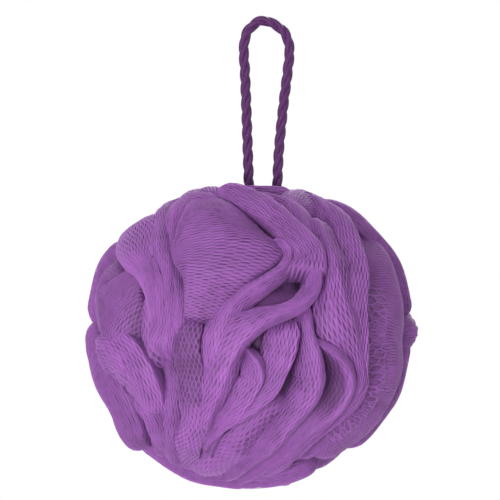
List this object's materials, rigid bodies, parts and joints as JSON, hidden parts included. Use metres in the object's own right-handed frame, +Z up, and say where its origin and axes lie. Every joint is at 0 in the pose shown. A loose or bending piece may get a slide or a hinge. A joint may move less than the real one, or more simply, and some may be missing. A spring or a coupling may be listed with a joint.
{
  "type": "bath puff",
  "caption": "Ball of gathered plastic net for washing with, bound in the middle, on a twisted rope hanging loop.",
  "frame": {"origin": "inner top of the rope's loop, where the puff hangs on its hook", "axes": "+Z up, +X to the right of someone who faces the loop flat on, -Y towards them; the loop lies in the XZ plane"},
  "size_m": [0.1234, 0.108, 0.1768],
  "materials": {
    "net": "extruded plastic net with a soft sheen",
    "rope": "three-strand twisted cord",
    "tie_cord": "plain thin cord"
  },
  "bodies": {
    "loop": {"hanging_loop": "rope"},
    "puff": {"net_length_1": "net", "net_length_2": "net", "net_length_3": "net", "net_length_4": "net", "rope_leg_left": "rope", "rope_leg_right": "rope", "rope_knot": "rope", "centre_tie": "tie_cord", "tie_knot": "tie_cord"}
  },
  "joints": [
    {"name": "loop_swing", "type": "hinge", "parent": "loop", "child": "puff", "pos_m": [0, 0, -0.06], "axis": [1, 0, 0], "range_deg": [-75, 75]}
  ]
}
